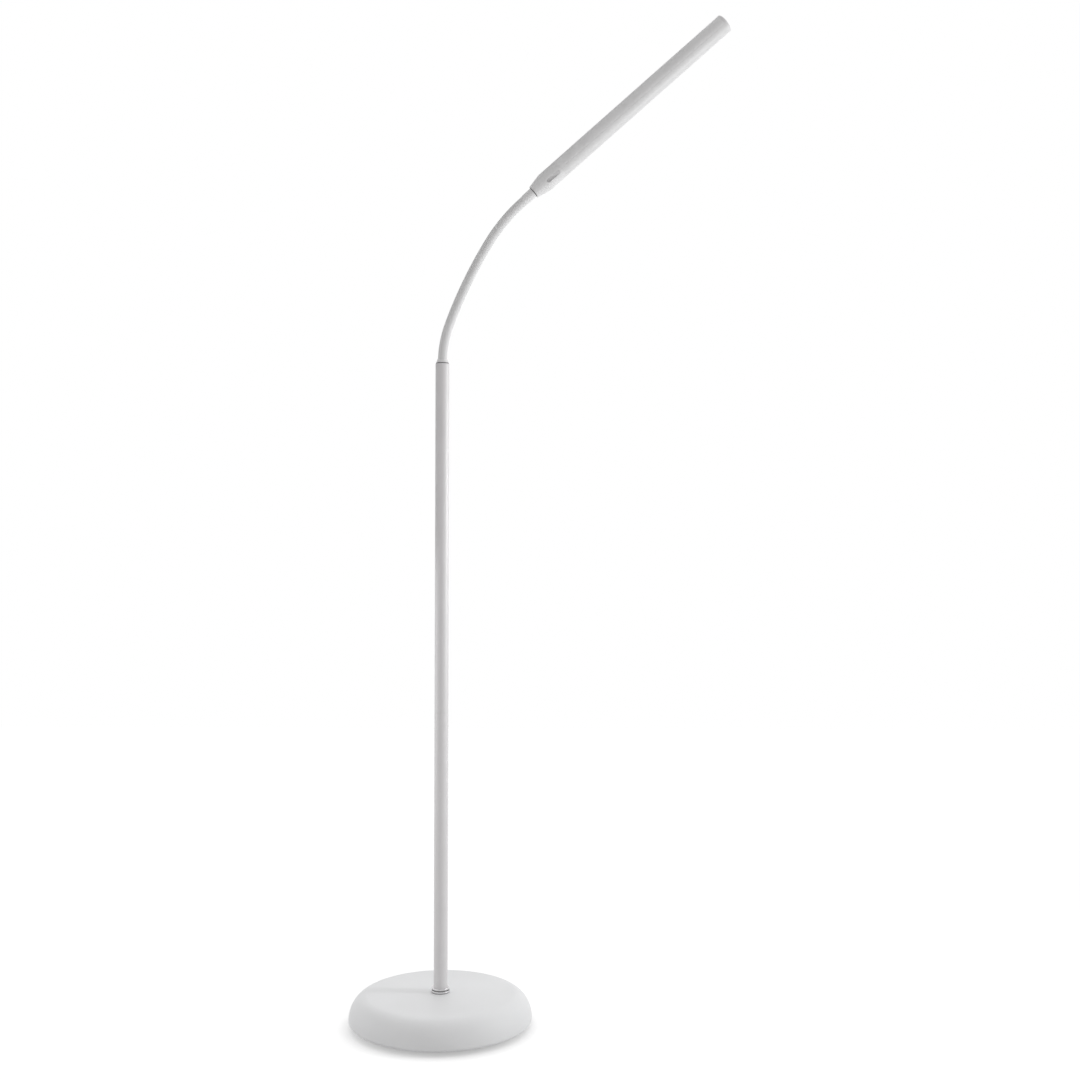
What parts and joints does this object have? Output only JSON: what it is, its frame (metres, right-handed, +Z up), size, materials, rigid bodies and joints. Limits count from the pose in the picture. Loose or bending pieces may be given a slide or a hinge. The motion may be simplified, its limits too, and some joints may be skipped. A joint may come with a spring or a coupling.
{
  "type": "floor lamp",
  "caption": "Slim floor lamp: round weighted base, two-piece pole, bendable gooseneck and a tubular light head with a side push switch.",
  "frame": {"origin": "on the floor, at the centre of the base's pad, on the pole's axis", "axes": "+Z up along the pole, +X the way the gooseneck leans at rest, the switch faces -Y and the inlet +Y"},
  "size_m": [0.5179, 0.25, 1.3815],
  "materials": {
    "white_cover": "satin, fine grain",
    "white_paint": "satin powder coat",
    "white_alloy": "satin white coat on extruded alloy",
    "white_sleeve": "smooth soft sleeve",
    "opal": "opal diffuser",
    "button_grey": "satin",
    "bright_ring": "polished",
    "steel": "zinc plated",
    "plate_paint": "black coat",
    "iron": "rough cast",
    "pad_foam": "soft non-slip pad",
    "black_plastic": "moulded",
    "lead_jacket": "soft lead jacket",
    "board_white": "white lacquered board",
    "board_green": "green lacquered board",
    "phosphor": "light-emitting chip",
    "brass": "turned"
  },
  "bodies": {
    "stand": {"base_pad": "pad_foam", "base_plate": "plate_paint", "base_screws": "steel", "base_weight": "iron", "base_cover": "white_cover", "base_washer": "steel", "base_nut": "steel", "base_nipple": "steel", "base_collar": "bright_ring", "dc_socket": "black_plastic", "dc_socket_nut": "steel", "pole_foot": "steel", "pole_lower": "white_paint", "pole_upper": "white_paint", "pole_coupler": "steel", "neck_socket": "white_paint", "neck_lower_ferrule": "brass", "supply_lead": "lead_jacket", "neck_core_00": "steel", "neck_sleeve_00": "white_sleeve"},
    "neck_link_01": {"neck_core_01": "steel", "neck_sleeve_01": "white_sleeve"},
    "neck_link_02": {"neck_core_02": "steel", "neck_sleeve_02": "white_sleeve"},
    "neck_link_03": {"neck_core_03": "steel", "neck_sleeve_03": "white_sleeve"},
    "neck_link_04": {"neck_core_04": "steel", "neck_sleeve_04": "white_sleeve"},
    "neck_link_05": {"neck_core_05": "steel", "neck_sleeve_05": "white_sleeve"},
    "neck_link_06": {"neck_core_06": "steel", "neck_sleeve_06": "white_sleeve"},
    "neck_link_07": {"neck_core_07": "steel", "neck_sleeve_07": "white_sleeve"},
    "neck_link_08": {"neck_core_08": "steel", "neck_sleeve_08": "white_sleeve"},
    "neck_link_09": {"neck_core_09": "steel", "neck_sleeve_09": "white_sleeve"},
    "neck_link_10": {"neck_core_10": "steel", "neck_sleeve_10": "white_sleeve"},
    "neck_link_11": {"neck_core_11": "steel", "neck_sleeve_11": "white_sleeve"},
    "head": {"neck_core_12": "steel", "neck_sleeve_12": "white_sleeve", "neck_upper_ferrule": "white_paint", "head_cone": "white_cover", "head_set_screw": "steel", "head_housing": "white_alloy", "head_diffuser": "opal", "head_end_cap": "white_cover", "led_board": "board_white", "led_chips": "phosphor", "led_board_screws": "steel", "led_lead": "lead_jacket", "driver_board": "board_green", "tact_switch": "black_plastic"},
    "button": {"switch_plunger": "black_plastic", "switch_button": "button_grey"}
  },
  "joints": [
    {"name": "neck_bend", "type": "hinge", "parent": "stand", "child": "neck_link_01", "pos_m": [0.00037, 0, 0.91726], "axis": [0, 1, 0], "range_deg": [-24.75, 12.75], "deforming": ["supply_lead"]},
    {"name": "neck_bend_2", "type": "hinge", "parent": "neck_link_01", "child": "neck_link_02", "pos_m": [0.00328, 0, 0.93798], "axis": [0, 1, 0], "range_deg": [-24.75, 12.75]},
    {"name": "neck_sway", "type": "hinge", "parent": "neck_link_02", "child": "neck_link_03", "pos_m": [0.00905, 0, 0.9581], "axis": [0.9397, 0, -0.342], "range_deg": [-15, 15]},
    {"name": "neck_bend_3", "type": "hinge", "parent": "neck_link_03", "child": "neck_link_04", "pos_m": [0.01653, 0, 0.97766], "axis": [0, 1, 0], "range_deg": [-24.75, 12.75]},
    {"name": "neck_bend_4", "type": "hinge", "parent": "neck_link_04", "child": "neck_link_05", "pos_m": [0.02464, 0, 0.99696], "axis": [0, 1, 0], "range_deg": [-24.75, 12.75]},
    {"name": "neck_sway_2", "type": "hinge", "parent": "neck_link_05", "child": "neck_link_06", "pos_m": [0.03338, 0, 1.01599], "axis": [0.9018, 0, -0.4321], "range_deg": [-15, 15]},
    {"name": "neck_bend_5", "type": "hinge", "parent": "neck_link_06", "child": "neck_link_07", "pos_m": [0.04274, 0, 1.03473], "axis": [0, 1, 0], "range_deg": [-24.75, 12.75]},
    {"name": "neck_bend_6", "type": "hinge", "parent": "neck_link_07", "child": "neck_link_08", "pos_m": [0.0527, 0, 1.05315], "axis": [0, 1, 0], "range_deg": [-24.75, 12.75]},
    {"name": "neck_sway_3", "type": "hinge", "parent": "neck_link_08", "child": "neck_link_09", "pos_m": [0.06325, 0, 1.07123], "axis": [0.8554, 0, -0.518], "range_deg": [-15, 15]},
    {"name": "neck_bend_7", "type": "hinge", "parent": "neck_link_09", "child": "neck_link_10", "pos_m": [0.07485, 0, 1.08866], "axis": [0, 1, 0], "range_deg": [-24.75, 12.75]},
    {"name": "neck_bend_8", "type": "hinge", "parent": "neck_link_10", "child": "neck_link_11", "pos_m": [0.08789, 0, 1.10504], "axis": [0, 1, 0], "range_deg": [-24.75, 12.75]},
    {"name": "neck_sway_4", "type": "hinge", "parent": "neck_link_11", "child": "head", "pos_m": [0.10228, 0, 1.12025], "axis": [0.6964, 0, -0.7176], "range_deg": [-15, 15]},
    {"name": "switch_press", "type": "slide", "parent": "head", "child": "button", "axis": [-0.2056, 0.9511, 0.2307], "range_m": [0, 0.0006], "stiffness_N_per_m": 2500, "springref_m": -0.0004}
  ]
}
